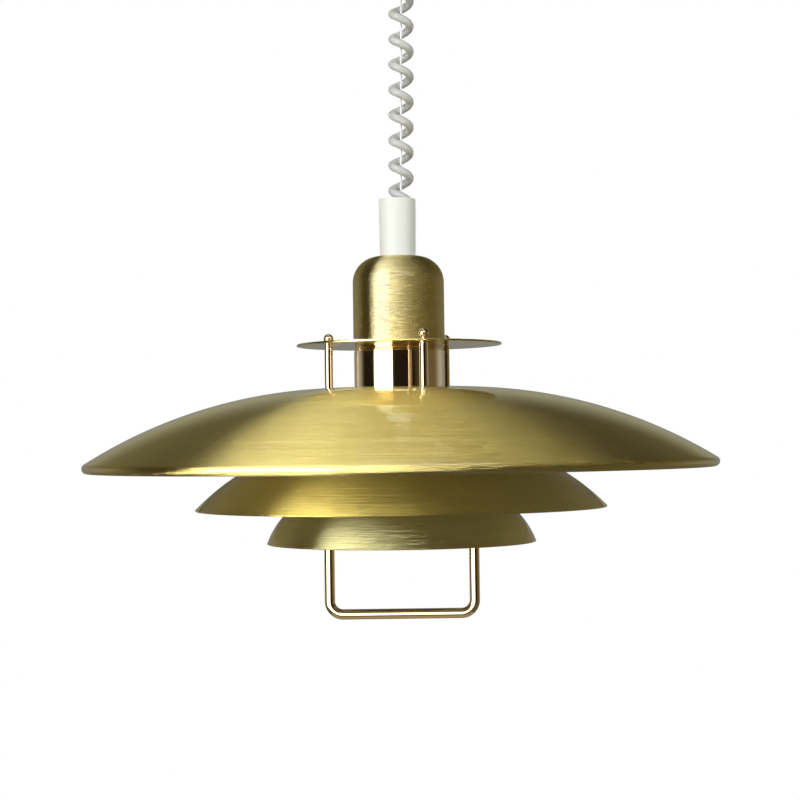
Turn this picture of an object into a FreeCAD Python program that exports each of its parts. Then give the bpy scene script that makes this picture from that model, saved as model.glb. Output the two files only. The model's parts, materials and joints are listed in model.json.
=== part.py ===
import FreeCAD, Part
import math
import os
import Sketcher

# Rise and fall pendant: a ceiling unit with a spring balancer, a curly cord
# round a thin steel wire, and a stacked brass shade that is pulled up and down
# by a square handle.
#
# Frame: millimetres, +Z up, origin on the ceiling at the middle of the round
# ceiling plate.  The wire hangs down the Z axis.  The lamp hangs from it a
# little off its own middle, so its axis leans by "lamp_tilt" degrees.  Lamp
# heights below are measured from the lamp datum, a plane 32.3 mm under the
# flat top of the main shade.

os.makedirs("parts", exist_ok=True)
doc = FreeCAD.newDocument("rise_and_fall_pendant")
V = FreeCAD.Vector
sheet = doc.addObject("Spreadsheet::Sheet", "Dims")

DIMS = [
    # where the lamp hangs
    ("lamp_x", -0.4), ("lamp_z", -380.0), ("lamp_tilt", 0.75),
    # ceiling unit
    ("plate_r", 54.0), ("plate_thick", 1.5), ("slot_pitch", 76.0), ("slot_len", 14.0), ("slot_wide", 5.0),
    ("ear_x", 54.0), ("ear_wide", 12.0), ("ear_drop", 15.0),
    ("canopy_r", 60.0), ("canopy_depth", 95.0), ("canopy_wall", 2.0), ("canopy_round", 25.0), ("outlet_r", 10.0),
    ("drum_x", 21.3), ("drum_z", -45.0), ("drum_seat_r", 20.7), ("drum_flange_r", 24.5), ("drum_half", 8.0),
    ("axle_r", 3.0), ("housing_r", 27.0), ("housing_wall", 2.0), ("housing_half", 11.0),
    ("wire_r", 0.5), ("wire_top", -91.5),
    # cord
    ("cord_r", 2.5), ("coil_r", 8.0), ("coil_top", -97.0), ("coil_bottom", -240.7),
    # sleeve, insert and stem
    ("sleeve_top", 149.3), ("cup_top", 113.7), ("sleeve_top_r", 11.55), ("sleeve_bot_r", 11.15),
    ("sleeve_top_in", 10.7), ("sleeve_bot_in", 10.0), ("insert_r", 9.9), ("insert_top", 126.7),
    ("stem_r", 5.0), ("stem_bore", 3.5), ("stem_top", 118.7), ("stem_low", 85.0), ("wire_off", 2.0), ("tail_off", -3.5),
    # cup, disc, groove ring and neck tube
    ("cup_r", 28.3), ("cup_round", 16.0), ("cup_wall", 0.8),
    ("disc_r", 63.45), ("disc_top", 59.6), ("disc_low", 58.4), ("disc_hole", 20.2),
    ("neck_r", 27.95), ("neck_top", 54.7), ("neck_wall", 1.0), ("ring_in", 25.5),
    # lampholder
    ("holder_r", 20.0), ("holder_mouth", 28.0), ("holder_floor", 56.0), ("holder_top", 70.0), ("thread_r", 13.5),
    # rods
    ("rod_ring", 44.9), ("rod_angle", 49.0), ("rod_r", 2.6), ("stud_r", 2.0), ("stud_low", -40.0), ("ball_r", 3.05), ("ball_z", 63.7),
    # main shade
    ("dome_top", 32.3), ("dome_flat", 38.3), ("dome_arc", 292.0), ("dome_rim", 195.0), ("dome_bead", 2.5), ("dome_wall", 1.2), ("dome_hole", 25.0),
    # second shade
    ("two_top", 1.1), ("two_mid", 26.3), ("two_arc", 140.0), ("two_flat", 55.4), ("two_rim", 127.0), ("two_hole", 34.0),
    # third shade
    ("three_top", -29.8), ("three_mid", 36.0), ("three_arc", 50.0), ("three_flat", 53.1), ("three_rim", 83.1), ("three_hole", 33.0),
    ("leaf", 1.0),
    # handle
    ("handle_x", 44.8), ("handle_r", 3.2), ("handle_low", -107.3), ("handle_round", 8.2),
]
for row, (alias, number) in enumerate(DIMS, 1):
    sheet.set("A%d" % row, alias)
    sheet.set("B%d" % row, "%.6g" % number)
    sheet.setAlias("B%d" % row, alias)
doc.recompute()


class Dim:
    """A length that knows both its value and the sheet expression behind it."""

    def __init__(self, value, text):
        self.v = float(value)
        self.t = text

    def __add__(self, o):
        o = dim(o)
        return Dim(self.v + o.v, "(%s + %s)" % (self.t, o.t))

    def __radd__(self, o):
        return dim(o) + self

    def __sub__(self, o):
        o = dim(o)
        return Dim(self.v - o.v, "(%s - %s)" % (self.t, o.t))

    def __rsub__(self, o):
        return dim(o) - self

    def __mul__(self, o):
        o = dim(o)
        return Dim(self.v * o.v, "(%s * %s)" % (self.t, o.t))

    def __rmul__(self, o):
        return dim(o) * self

    def __truediv__(self, o):
        o = dim(o)
        return Dim(self.v / o.v, "(%s / %s)" % (self.t, o.t))

    def __neg__(self):
        return Dim(0 - self.v, "(0 - %s)" % self.t)


def dim(x):
    return x if isinstance(x, Dim) else Dim(x, "%.6f" % x if x >= 0 else "(0 - %.6f)" % abs(x))


def root(x):
    x = dim(x)
    return Dim(math.sqrt(x.v), "sqrt(%s)" % x.t)


def cosd(x):
    x = dim(x)
    return Dim(math.cos(math.radians(x.v)), "cos(%s)" % x.t)


def sind(x):
    x = dim(x)
    return Dim(math.sin(math.radians(x.v)), "sin(%s)" % x.t)


D = {alias: Dim(number, "Dims." + alias) for alias, number in DIMS}
NODES = []


def bind(obj, prop, value):
    value = dim(value)
    obj.setExpression(prop, value.t)


def place(obj, at=(0, 0, 0), turn=None):
    """Put a sub-part at (x, y, z), turned by (axis, degrees)."""
    base = [dim(c) for c in at]
    rot = FreeCAD.Rotation(V(*turn[0]), turn[1]) if turn else FreeCAD.Rotation()
    obj.Placement = FreeCAD.Placement(V(base[0].v, base[1].v, base[2].v), rot)
    for axis, c in zip("xyz", base):
        if "Dims." in c.t:
            obj.setExpression("Placement.Base." + axis, c.t)


TILT = FreeCAD.Rotation(V(0, -1, 0), D["lamp_tilt"].v)
LAMP = FreeCAD.Placement(V(D["lamp_x"].v, 0, D["lamp_z"].v), TILT)


def on_lamp(obj, spin=0.0):
    """Hang a sub-part on the leaning lamp axis, turned about it by spin."""
    rot = TILT.multiply(FreeCAD.Rotation(V(0, 0, 1), spin))
    obj.Placement = FreeCAD.Placement(LAMP.Base, rot)
    obj.setExpression("Placement.Base.x", "Dims.lamp_x")
    obj.setExpression("Placement.Base.z", "Dims.lamp_z")


def node(obj, label):
    obj.Label = label
    NODES.append(obj)
    return obj


def new_body(label):
    return doc.addObject("PartDesign::Body", label)


def role(body, name):
    return [o for o in body.Origin.OriginFeatures if o.Role == name][0]


def sketch_on(body, name, plane, lift=None):
    sk = body.newObject("Sketcher::SketchObject", name)
    sk.AttachmentSupport = [(role(body, plane), "")]
    sk.MapMode = "FlatFace"
    if lift is not None:
        sk.AttachmentOffset = FreeCAD.Placement(V(0, 0, dim(lift).v), FreeCAD.Rotation())
        bind(sk, "AttachmentOffset.Base.z", lift)
    return sk


def pin_point(sk, geo, pos, x, y):
    """Hold a point of a sketch at (x, y), each bound to the sheet."""
    for kind, value in (("DistanceX", dim(x)), ("DistanceY", dim(y))):
        k = sk.addConstraint(Sketcher.Constraint(kind, -1, 1, geo, pos, value.v))
        if "Dims." in value.t:
            sk.setExpression("Constraints[%d]" % k, value.t)


def outline(sk, points, arcs=None):
    """Closed outline.  arcs maps a segment number to (radius, +1 ccw or -1 cw)."""
    arcs = arcs or {}
    count = len(points)
    pts = [(dim(x), dim(y)) for x, y in points]
    starts, ends = [], []
    for i in range(count):
        a, b = pts[i], pts[(i + 1) % count]
        if i in arcs:
            radius, sense = dim(arcs[i][0]), arcs[i][1]
            dx, dy = b[0].v - a[0].v, b[1].v - a[1].v
            half = math.hypot(dx, dy) / 2.0
            rise = math.sqrt(max(radius.v ** 2 - half ** 2, 0.0))
            big = len(arcs[i]) > 2 and arcs[i][2]
            side = sense * (-1 if big else 1)
            nx, ny = -dy / (2 * half) * side, dx / (2 * half) * side
            cx, cy = (a[0].v + b[0].v) / 2 + nx * rise, (a[1].v + b[1].v) / 2 + ny * rise
            first, last = (a, b) if sense > 0 else (b, a)
            a0 = math.atan2(first[1].v - cy, first[0].v - cx)
            a1 = math.atan2(last[1].v - cy, last[0].v - cx)
            if a1 <= a0:
                a1 += 2 * math.pi
            sk.addGeometry(Part.ArcOfCircle(Part.Circle(V(cx, cy, 0), V(0, 0, 1), radius.v), a0, a1), False)
            starts.append((i, 1 if sense > 0 else 2))
            ends.append((i, 2 if sense > 0 else 1))
        else:
            sk.addGeometry(Part.LineSegment(V(a[0].v, a[1].v, 0), V(b[0].v, b[1].v, 0)), False)
            starts.append((i, 1))
            ends.append((i, 2))
    for i in range(count):
        j = (i + 1) % count
        sk.addConstraint(Sketcher.Constraint("Coincident", ends[i][0], ends[i][1], starts[j][0], starts[j][1]))
    for i in range(count):
        pin_point(sk, starts[i][0], starts[i][1], pts[i][0], pts[i][1])
        if i in arcs:
            radius = dim(arcs[i][0])
            k = sk.addConstraint(Sketcher.Constraint("Radius", i, radius.v))
            if "Dims." in radius.t:
                sk.setExpression("Constraints[%d]" % k, radius.t)


def turned(label, points, arcs=None):
    """A turned or spun piece: its half section revolved about the local Z axis."""
    body = new_body(label)
    sk = sketch_on(body, label + "_section", "XZ_Plane")
    outline(sk, points, arcs)
    rev = body.newObject("PartDesign::Revolution", label + "_turn")
    rev.Profile = sk
    rev.ReferenceAxis = (sk, ["V_Axis"])
    rev.Angle = 360
    doc.recompute()
    return body


def drilled(body, name, holes):
    """Round holes (x, y, radius) straight through a body along its local Z."""
    before = body.Shape.Volume
    sk = sketch_on(body, name + "_sketch", "XY_Plane")
    for i, (x, y, r) in enumerate(holes):
        x, y, r = dim(x), dim(y), dim(r)
        sk.addGeometry(Part.Circle(V(x.v, y.v, 0), V(0, 0, 1), r.v), False)
        pin_point(sk, i, 3, x, y)
        k = sk.addConstraint(Sketcher.Constraint("Radius", i, r.v))
        if "Dims." in r.t:
            sk.setExpression("Constraints[%d]" % k, r.t)
    cut = body.newObject("PartDesign::Pocket", name)
    cut.Profile = sk
    cut.Type = "ThroughAll"
    cut.SideType = "Symmetric"
    doc.recompute()
    if body.Shape.Volume > before - 0.01:
        raise RuntimeError(name + " cut nothing")
    return cut


def ring_of_three(body, feature, name):
    """Repeat one feature three times round the local Z axis."""
    pattern = body.newObject("PartDesign::PolarPattern", name)
    pattern.Originals = feature if isinstance(feature, list) else [feature]
    pattern.Axis = (role(body, "Z_Axis"), [""])
    pattern.Angle = 360
    pattern.Occurrences = 3
    body.Tip = pattern
    doc.recompute()
    return pattern


def padded(body, name, low, high, circles=(), polygon=None):
    """A pad from local height low to high of circles (x, y, r) or a polygon."""
    sk = sketch_on(body, name + "_sketch", "XY_Plane", lift=low)
    if polygon:
        outline(sk, polygon)
    base = len(polygon) if polygon else 0
    for i, (x, y, r) in enumerate(circles):
        x, y, r = dim(x), dim(y), dim(r)
        sk.addGeometry(Part.Circle(V(x.v, y.v, 0), V(0, 0, 1), r.v), False)
        pin_point(sk, base + i, 3, x, y)
        k = sk.addConstraint(Sketcher.Constraint("Radius", base + i, r.v))
        if "Dims." in r.t:
            sk.setExpression("Constraints[%d]" % k, r.t)
    pad = body.newObject("PartDesign::Pad", name)
    pad.Profile = sk
    height = dim(high) - dim(low)
    pad.Length = height.v
    bind(pad, "Length", height)
    doc.recompute()
    return pad


def hexagon(cx, cy, flats):
    """Six corners of a nut with the given width across flats."""
    out = []
    for i in range(6):
        a = math.radians(60 * i + 30)
        out.append((dim(cx) + flats / math.sqrt(3) * math.cos(a), dim(cy) + flats / math.sqrt(3) * math.sin(a)))
    return out


def rod(label, radius, length, at, axis=(0, 0, 1)):
    """A round bar from at, along axis."""
    cyl = doc.addObject("Part::Cylinder", label)
    bind(cyl, "Radius", radius)
    bind(cyl, "Height", length)
    if axis == (0, 0, 1):
        place(cyl, at)
    else:
        r = FreeCAD.Rotation(V(0, 0, 1), V(*axis))
        place(cyl, at, ((r.Axis.x, r.Axis.y, r.Axis.z), math.degrees(r.Angle)))
    return cyl


def block(label, size, at):
    """A rectangular bar with its low corner at at."""
    box = doc.addObject("Part::Box", label)
    for prop, value in zip(("Length", "Width", "Height"), size):
        bind(box, prop, value)
    place(box, at)
    return box


def joined(label, pieces):
    fuse = doc.addObject("Part::MultiFuse", label)
    fuse.Shapes = pieces
    fuse.Refine = True
    return fuse


def cut_by(label, base, tools):
    cut = doc.addObject("Part::Cut", label)
    cut.Base = base
    cut.Tool = tools[0] if len(tools) == 1 else joined(label + "_tools", tools)
    cut.Refine = True
    return cut


# ---------------------------------------------------------------- ceiling unit
# Round steel plate against the ceiling, with two slots for the ceiling screws,
# a hole for the mains cable and two bent ears that take the canopy screws.
d = D
plate = rod("plate_round", d["plate_r"], d["plate_thick"], (0, 0, -d["plate_thick"]))
ears = []
for side, x0 in (("right", d["ear_x"] - d["plate_thick"]), ("left", -d["ear_x"])):
    ears.append(block("ear_" + side, (d["plate_thick"], d["ear_wide"], d["ear_drop"]),
                      (x0, -d["ear_wide"] / 2, -d["ear_drop"])))
slots = []
for side, sign in (("back", 1), ("front", -1)):
    mid = d["slot_pitch"] / 2 * sign
    flat = d["slot_len"] - d["slot_wide"]
    slots.append(block("slot_%s" % side, (d["slot_wide"], flat, 6), (-d["slot_wide"] / 2, mid - flat / 2, -4)))
    for k, s in (("a", 1), ("b", -1)):
        slots.append(rod("slot_%s_%s" % (side, k), d["slot_wide"] / 2, 6, (0, mid + flat / 2 * s, -4)))
plate_tools = slots + [rod("cable_hole", 6.5, 6, (-20, 22, -4))]
for s in (1, -1):
    plate_tools.append(rod("rivet_hole_%d" % (s + 1), 2.0, 6, (d["drum_x"], 7.5 * s, -4)))
plate_tools.append(rod("ear_holes", 2.0, 130, (-65, 0, -9.0), (1, 0, 0)))
node(cut_by("ceiling_plate", joined("plate_blank", [plate] + ears), plate_tools), "ceiling_plate")

# White bell-shaped canopy that hides the unit, open at the ceiling, with the
# outlet in the middle of its floor.
r, w, q, h = d["canopy_r"], d["canopy_wall"], d["canopy_round"], d["canopy_depth"]
canopy = turned("canopy", [(d["outlet_r"], -h), (r - q, -h), (r, q - h), (r, -0.5), (r - w, -0.5), (r - w, q - h),
                           (r - q, w - h), (d["outlet_r"], w - h)],
                {1: (q, 1), 5: (q - w, -1)})
sk = sketch_on(canopy, "canopy_screw_sketch", "YZ_Plane")
sk.addGeometry(Part.Circle(V(0, -9, 0), V(0, 0, 1), 2.1), False)
pin_point(sk, 0, 3, 0, -9)
sk.addConstraint(Sketcher.Constraint("Radius", 0, 2.1))
cut = canopy.newObject("PartDesign::Pocket", "canopy_screw_holes")
cut.Profile = sk
cut.Type = "ThroughAll"
cut.SideType = "Symmetric"
doc.recompute()
node(canopy, "canopy")
screws = []
for side, s in (("right", 1), ("left", -1)):
    screws.append(rod("screw_shank_" + side, 1.95, 11, ((d["canopy_r"] - 11) * s, 0, -9), (s, 0, 0)))
    screws.append(rod("screw_head_" + side, 3.6, 2, (d["canopy_r"] * s, 0, -9), (s, 0, 0)))
node(joined("canopy_screws", screws), "canopy_screws")

# Steel yoke riveted under the plate: its legs carry the drum axle.
yw, yt = 14.0, 2.0
leg_y = d["housing_half"]
yoke_top = -d["plate_thick"]
web = block("yoke_web", (yw, (leg_y + yt) * 2, yt), (d["drum_x"] - yw / 2, -leg_y - yt, yoke_top - yt))
legs = [block("yoke_leg_front", (yw, yt, 52), (d["drum_x"] - yw / 2, -leg_y - yt, yoke_top - yt - 50)),
        block("yoke_leg_back", (yw, yt, 52), (d["drum_x"] - yw / 2, leg_y, yoke_top - yt - 50))]
yoke_tools = [rod("yoke_axle_hole", d["axle_r"], 60, (d["drum_x"], -30, d["drum_z"]), (0, 1, 0))]
for s in (1, -1):
    yoke_tools.append(rod("yoke_rivet_hole_%d" % (s + 1), 2.0, 6, (d["drum_x"], 7.5 * s, -6)))
node(cut_by("drum_yoke", joined("yoke_blank", [web] + legs), yoke_tools), "drum_yoke")
rivets = []
for s in (1, -1):
    rivets.append(rod("rivet_shank_%d" % (s + 1), 2.0, 3.5, (d["drum_x"], 7.5 * s, -3.5)))
    rivets.append(rod("rivet_head_%d" % (s + 1), 3.4, 1.5, (d["drum_x"], 7.5 * s, -5.0)))
node(joined("yoke_rivets", rivets), "yoke_rivets")

# Two half shells round the drum, with a mouth low down where the wire leaves.
hr, hw, hh = d["housing_r"], d["housing_wall"], d["housing_half"]
for label, s in (("housing_front", -1), ("housing_back", 1)):
    pts = [(d["axle_r"], hh * s), (hr, hh * s), (hr, 0), (hr - hw, 0), (hr - hw, (hh - hw) * s), (d["axle_r"], (hh - hw) * s)]
    shell = turned(label + "_shell", pts)
    place(shell, (d["drum_x"], 0, d["drum_z"]), ((1, 0, 0), -90))
    mouth = block(label + "_mouth", (5, 5, 24), (-2.5, -2.5, -76))
    node(cut_by(label, shell, [mouth]), label)

# Axle bolt and nut.
bolt = [rod("axle_shank", d["axle_r"], 31.5, (d["drum_x"], -13, d["drum_z"]), (0, 1, 0)),
        rod("axle_head", 5.2, 3, (d["drum_x"], -16, d["drum_z"]), (0, 1, 0))]
node(joined("drum_axle", bolt), "drum_axle")
nut = new_body("axle_nut")
padded(nut, "axle_nut_pad", 13, 17.5, [(0, 0, d["axle_r"])], hexagon(0, 0, 10))
place(nut, (d["drum_x"], 0, d["drum_z"]), ((1, 0, 0), -90))
node(nut, "axle_nut")

# Drum: one layer of wire on its seat, the spring in its open side.
fr, sr, half = d["drum_flange_r"], d["drum_seat_r"], d["drum_half"]
drum = turned("wire_drum", [(d["axle_r"] + 0.08, -half), (fr, -half), (fr, 1.5 - half), (sr, 1.5 - half), (sr, half - 1.5),
                            (fr, half - 1.5), (fr, half), (18.7, half), (18.7, -1), (d["axle_r"] + 0.08, -1)])
place(drum, (d["drum_x"], 0, d["drum_z"]), ((1, 0, 0), -90))
node(drum, "wire_drum")
wound = turned("wound_wire", [(sr + 0.02, -6.2), (sr + 1.02, -6.2), (sr + 1.02, -0.8), (sr + 0.02, -0.8)])
place(wound, (d["drum_x"], 0, d["drum_z"]), ((1, 0, 0), -90))
node(wound, "wound_wire")

# Flat spiral spring: half turns whose centres step from side to side, ended on
# the axle by a straight tab.
spring_thick, spring_step, spring_wide = 0.6, 0.95, 7.0
turns = []
radius, centre = 7.6, 0.0
for k in range(11):
    ring = Part.makeCylinder(radius + spring_thick / 2, spring_wide).cut(Part.makeCylinder(radius - spring_thick / 2, spring_wide))
    keep = Part.makeBox(60, 30, spring_wide, V(-30, 0 if k % 2 == 0 else -30, 0))
    half_ring = ring.common(keep)
    half_ring.translate(V(centre, 0, 0))
    turns.append(half_ring)
    step = spring_step / 2.0
    centre += step if k % 2 == 0 else -step
    radius += step
tab = Part.makeBox(7.6 + spring_thick / 2 - D["axle_r"].v, spring_thick, spring_wide, V(D["axle_r"].v, -spring_thick, 0))
spiral = turns[0].fuse(turns[1:] + [tab]).removeSplitter()
spring = doc.addObject("Part::Feature", "spiral_spring")
spring.Shape = spiral
spring.Placement = FreeCAD.Placement(V(D["drum_x"].v, 0, D["drum_z"].v), FreeCAD.Rotation(V(1, 0, 0), -90))
node(spring, "spiral_spring")

# The wire's own run from the drum down to its guide, and the outlet pieces.
node(rod("wire_upper", d["wire_r"], d["drum_z"] - d["wire_top"], (0, 0, d["wire_top"])), "wire_upper")
o = d["outlet_r"]
bush = turned("outlet_bushing", [(8.4, -96.5), (o + 2, -96.5), (o + 2, -h), (o - 0.05, -h), (o - 0.05, w - h), (o + 2, w - h), (o + 2, -91.5), (8.4, -91.5)])
node(bush, "outlet_bushing")
guide = block("guide_bar", (3.0, 23, 3), (-1.5, -11.5, -91.5))
node(cut_by("wire_guide", guide, [rod("guide_hole", 0.6, 8, (0, 0, -94))]), "wire_guide")
clamp = block("clamp_block", (9.5, 12, 9), (-11.5, -6, -91.5))
node(cut_by("cord_clamp", clamp, [rod("clamp_hole", d["cord_r"] + 0.4, 14, (-5.7, 0, -94))]), "cord_clamp")

# Terminal block under the plate.
tb = block("terminal_blank", (18, 24, 16.5), (-45, -12, -18))
tb_tools = []
for s in (1, -1):
    tb_tools.append(rod("terminal_hole_%d" % (s + 1), 1.55, 15, (-31, 6.5 * s, -19)))
node(cut_by("terminal_block", tb, tb_tools), "terminal_block")
tscrews = []
for s in (1, -1):
    tscrews.append(rod("terminal_shank_%d" % (s + 1), 1.5, 13, (-31, 6.5 * s, -18)))
    tscrews.append(rod("terminal_head_%d" % (s + 1), 2.6, 1.6, (-31, 6.5 * s, -19.6)))
node(joined("terminal_screws", tscrews), "terminal_screws")


def cord_tube(label, route, radius):
    """A round tube along straight runs joined by tangent arcs."""
    pts = [V(*p) for p in route]
    edges, last = [], pts[0]
    total = 0.0
    for i in range(1, len(pts) - 1):
        a, b, c = pts[i - 1], pts[i], pts[i + 1]
        u, v = (b - a), (c - b)
        lu, lv = u.Length, v.Length
        u.normalize()
        v.normalize()
        half = math.acos(max(-1, min(1, u.dot(v)))) / 2
        cutback = 0.45 * min(lu, lv)
        bend = cutback / math.tan(half)
        print("%s bend %d: radius %.1f mm, turn %.1f degrees" % (label, i, bend, math.degrees(2 * half)))
        p, s = b - u * cutback, b + v * cutback
        middle = (v - u)
        middle.normalize()
        m = b + middle * (bend / math.cos(half) - bend)
        edges.append(Part.LineSegment(last, p).toShape())
        edges.append(Part.Arc(p, m, s).toShape())
        total += (p - last).Length + bend * 2 * half
        last = s
    edges.append(Part.LineSegment(last, pts[-1]).toShape())
    total += (pts[-1] - last).Length
    wire = Part.Wire(edges)
    direction = pts[1] - pts[0]
    section = Part.Wire(Part.makeCircle(radius, pts[0], direction))
    solid = wire.makePipeShell([section], True, False)
    print("%s: length %.1f mm, volume %.1f, section times length %.1f" % (label, total, solid.Volume, math.pi * radius ** 2 * total))
    if abs(solid.Volume / (math.pi * radius ** 2 * total) - 1) > 0.01:
        raise RuntimeError(label + " volume is off")
    feature = doc.addObject("Part::Feature", label)
    feature.Shape = solid
    return feature


# The cord's run inside the canopy, from the top of the coil to the terminals.
node(cord_tube("inner_lead", [(-5.5, 0, -97), (-5.5, 0, -76), (-20, 0, -58), (-36, 0, -42), (-38.5, 0, -18.4)], D["cord_r"].v), "inner_lead")

# ------------------------------------------------------------------ suspension
# Thin steel wire and the fat tube that stands for the curly cord round it.
wire_len = d["wire_top"] - (d["lamp_z"] + 126.6)
node(rod("suspension_wire", d["wire_r"], wire_len, (0, 0, d["wire_top"] - wire_len)), "suspension_wire")
coil = turned("curly_cord", [(d["coil_r"] - d["cord_r"] * 2, d["coil_bottom"]), (d["coil_r"], d["coil_bottom"]),
                             (d["coil_r"], d["coil_top"]), (d["coil_r"] - d["cord_r"] * 2, d["coil_top"])])
node(coil, "curly_cord")

# ------------------------------------------------------------------- lamp head
# White sleeve, its insert that grips the wire and the cord, and a grub screw.
sleeve = turned("cord_sleeve", [(d["sleeve_bot_in"], d["cup_top"]), (d["sleeve_bot_r"], d["cup_top"]), (d["sleeve_top_r"], d["sleeve_top"] - 0.8),
                                (d["sleeve_top_r"] - 0.4, d["sleeve_top"]), (d["sleeve_top_in"], d["sleeve_top"])])
sk = sketch_on(sleeve, "grub_sketch", "XZ_Plane")
sk.addGeometry(Part.Circle(V(0, 121, 0), V(0, 0, 1), 1.6), False)
pin_point(sk, 0, 3, 0, 121)
sk.addConstraint(Sketcher.Constraint("Radius", 0, 1.6))
cut = sleeve.newObject("PartDesign::Pocket", "grub_hole")
cut.Profile = sk
cut.Type = "Length"
cut.Length = 14
cut.Reversed = False
doc.recompute()
on_lamp(sleeve)
node(sleeve, "cord_sleeve")
grub = new_body("sleeve_screw")
padded(grub, "sleeve_screw_pad", 7.0, 11.0, [(0, -121, 1.5)])
grub.Placement = LAMP.multiply(FreeCAD.Placement(V(0, 0, 0), FreeCAD.Rotation(V(1, 0, 0), -90)))
node(grub, "sleeve_screw")

insert = turned("cord_insert", [(0, d["stem_top"]), (d["stem_r"] + 0.05, d["stem_top"]), (d["stem_r"] + 0.05, d["cup_top"]),
                                (d["insert_r"], d["cup_top"]), (d["insert_r"], d["insert_top"]), (0, d["insert_top"])])
drilled(insert, "insert_holes", [(d["wire_off"], 0, 1.6), (d["tail_off"], 0, d["cord_r"] + 0.05)])
sk = sketch_on(insert, "insert_grub_sketch", "XZ_Plane")
sk.addGeometry(Part.Circle(V(0, 121, 0), V(0, 0, 1), 1.55), False)
pin_point(sk, 0, 3, 0, 121)
sk.addConstraint(Sketcher.Constraint("Radius", 0, 1.55))
cut = insert.newObject("PartDesign::Pocket", "insert_grub_hole")
cut.Profile = sk
cut.Type = "Length"
cut.Length = 14
doc.recompute()
on_lamp(insert)
node(insert, "cord_insert")

ferrule = new_body("wire_ferrule")
padded(ferrule, "ferrule_pad", 119.0, 126.5, [(d["wire_off"], 0, 1.5)])
on_lamp(ferrule)
node(ferrule, "wire_ferrule")
tail = new_body("cord_tail")
padded(tail, "tail_pad", 119.0, 139.2, [(d["tail_off"], 0, d["cord_r"])])
on_lamp(tail)
node(tail, "cord_tail")

stem = turned("lamp_stem", [(d["stem_bore"], d["stem_low"]), (d["stem_r"], d["stem_low"]), (d["stem_r"], d["stem_top"]), (d["stem_bore"], d["stem_top"])])
on_lamp(stem)
node(stem, "lamp_stem")
snut = new_body("stem_nut")
padded(snut, "stem_nut_pad", d["cup_top"] - d["cup_wall"] - 3, d["cup_top"] - d["cup_wall"], [(0, 0, d["stem_r"])], hexagon(0, 0, 14))
on_lamp(snut)
node(snut, "stem_nut")
leads = new_body("lamp_leads")
padded(leads, "lead_pad", 74, 118.6, [(-1.6, 0, 1.2), (1.6, 0, 1.2)])
on_lamp(leads)
node(leads, "lamp_leads")

# Spun cup.
cr, cq, ct, cw = d["cup_r"], d["cup_round"], d["cup_top"], d["cup_wall"]
cup = turned("lamp_cup", [(d["stem_r"] + 0.1, ct - cw), (cr - cq, ct - cw), (cr - cw, ct - cq), (cr - cw, d["disc_top"]), (cr, d["disc_top"]),
                          (cr, ct - cq), (cr - cq, ct), (d["stem_r"] + 0.1, ct)],
             {1: (cq - cw, -1), 5: (cq, 1)})
on_lamp(cup)
node(cup, "lamp_cup")

# Lampholder: cap, body with flange, threaded shell, centre contact, ring.
cap = turned("holder_cap", [(5.05, 92), (5.05, 84), (8, 84), (17, 80.5), (17, d["holder_top"]), (19, d["holder_top"]), (19, 82), (9, 88), (9, 92)])
on_lamp(cap)
node(cap, "holder_cap")
hb = turned("holder_body", [(14.02, d["holder_mouth"]), (d["holder_r"], d["holder_mouth"]), (d["holder_r"], d["disc_top"] + 2), (23, d["disc_top"] + 2),
                            (23, 65.2), (d["holder_r"], 66.5), (d["holder_r"], d["holder_top"]), (0, d["holder_top"]), (0, d["holder_floor"]),
                            (14.02, d["holder_floor"])])
drilled(hb, "holder_lead_holes", [(-8, 0, 1.3), (8, 0, 1.3)])
on_lamp(hb)
node(hb, "holder_body")
shell = turned("thread_shell", [(d["thread_r"], 29.5), (14.0, 29.5), (14.0, 54.5), (d["thread_r"], 54.5)])
on_lamp(shell)
node(shell, "thread_shell")
contact = turned("centre_contact", [(0, 54.7), (3.5, 54.7), (5.5, 55.6), (5.5, d["holder_floor"]), (0, d["holder_floor"])])
on_lamp(contact)
node(contact, "centre_contact")
sring = turned("shade_ring", [(d["holder_r"] + 0.05, 51.4), (23.6, 51.4), (24.4, 52.2), (24.4, d["disc_low"]), (d["holder_r"] + 0.05, d["disc_low"])])
on_lamp(sring)
node(sring, "shade_ring")
carrier = turned("carrier_plate", [(d["disc_hole"], d["disc_top"]), (26.8, d["disc_top"]), (26.8, d["disc_top"] + 2), (d["disc_hole"], d["disc_top"] + 2)])
on_lamp(carrier)
node(carrier, "carrier_plate")

# Reflector disc, grooved ring and polished neck tube.
R3 = d["rod_ring"]
disc = turned("reflector_disc", [(d["disc_hole"], d["disc_low"]), (d["disc_r"] - 0.3, d["disc_low"]), (d["disc_r"], d["disc_low"] + 0.3),
                                 (d["disc_r"], d["disc_top"] - 0.3), (d["disc_r"] - 0.3, d["disc_top"]), (d["disc_hole"], d["disc_top"])])
hole = drilled(disc, "disc_hole_first", [(R3, 0, 1.75)])
ring_of_three(disc, hole, "disc_holes")
on_lamp(disc, D["rod_angle"].v)
node(disc, "reflector_disc")
nr = d["neck_r"]
groove = turned("groove_ring", [(d["ring_in"], d["neck_top"]), (nr, d["neck_top"]), (nr, d["neck_top"] + 0.5), (nr - 0.9, d["neck_top"] + 1.15),
                                (nr - 0.9, d["neck_top"] + 1.35), (nr, d["neck_top"] + 1.85), (nr - 0.9, d["neck_top"] + 2.4),
                                (nr - 0.9, d["neck_top"] + 2.6), (nr, d["neck_top"] + 3.2), (nr, d["disc_low"]), (d["ring_in"], d["disc_low"])])
on_lamp(groove)
node(groove, "groove_ring")
tube = turned("neck_tube", [(nr - d["neck_wall"], d["dome_top"]), (nr, d["dome_top"]), (nr, d["neck_top"]), (nr - d["neck_wall"], d["neck_top"])])
on_lamp(tube)
node(tube, "neck_tube")

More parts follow.
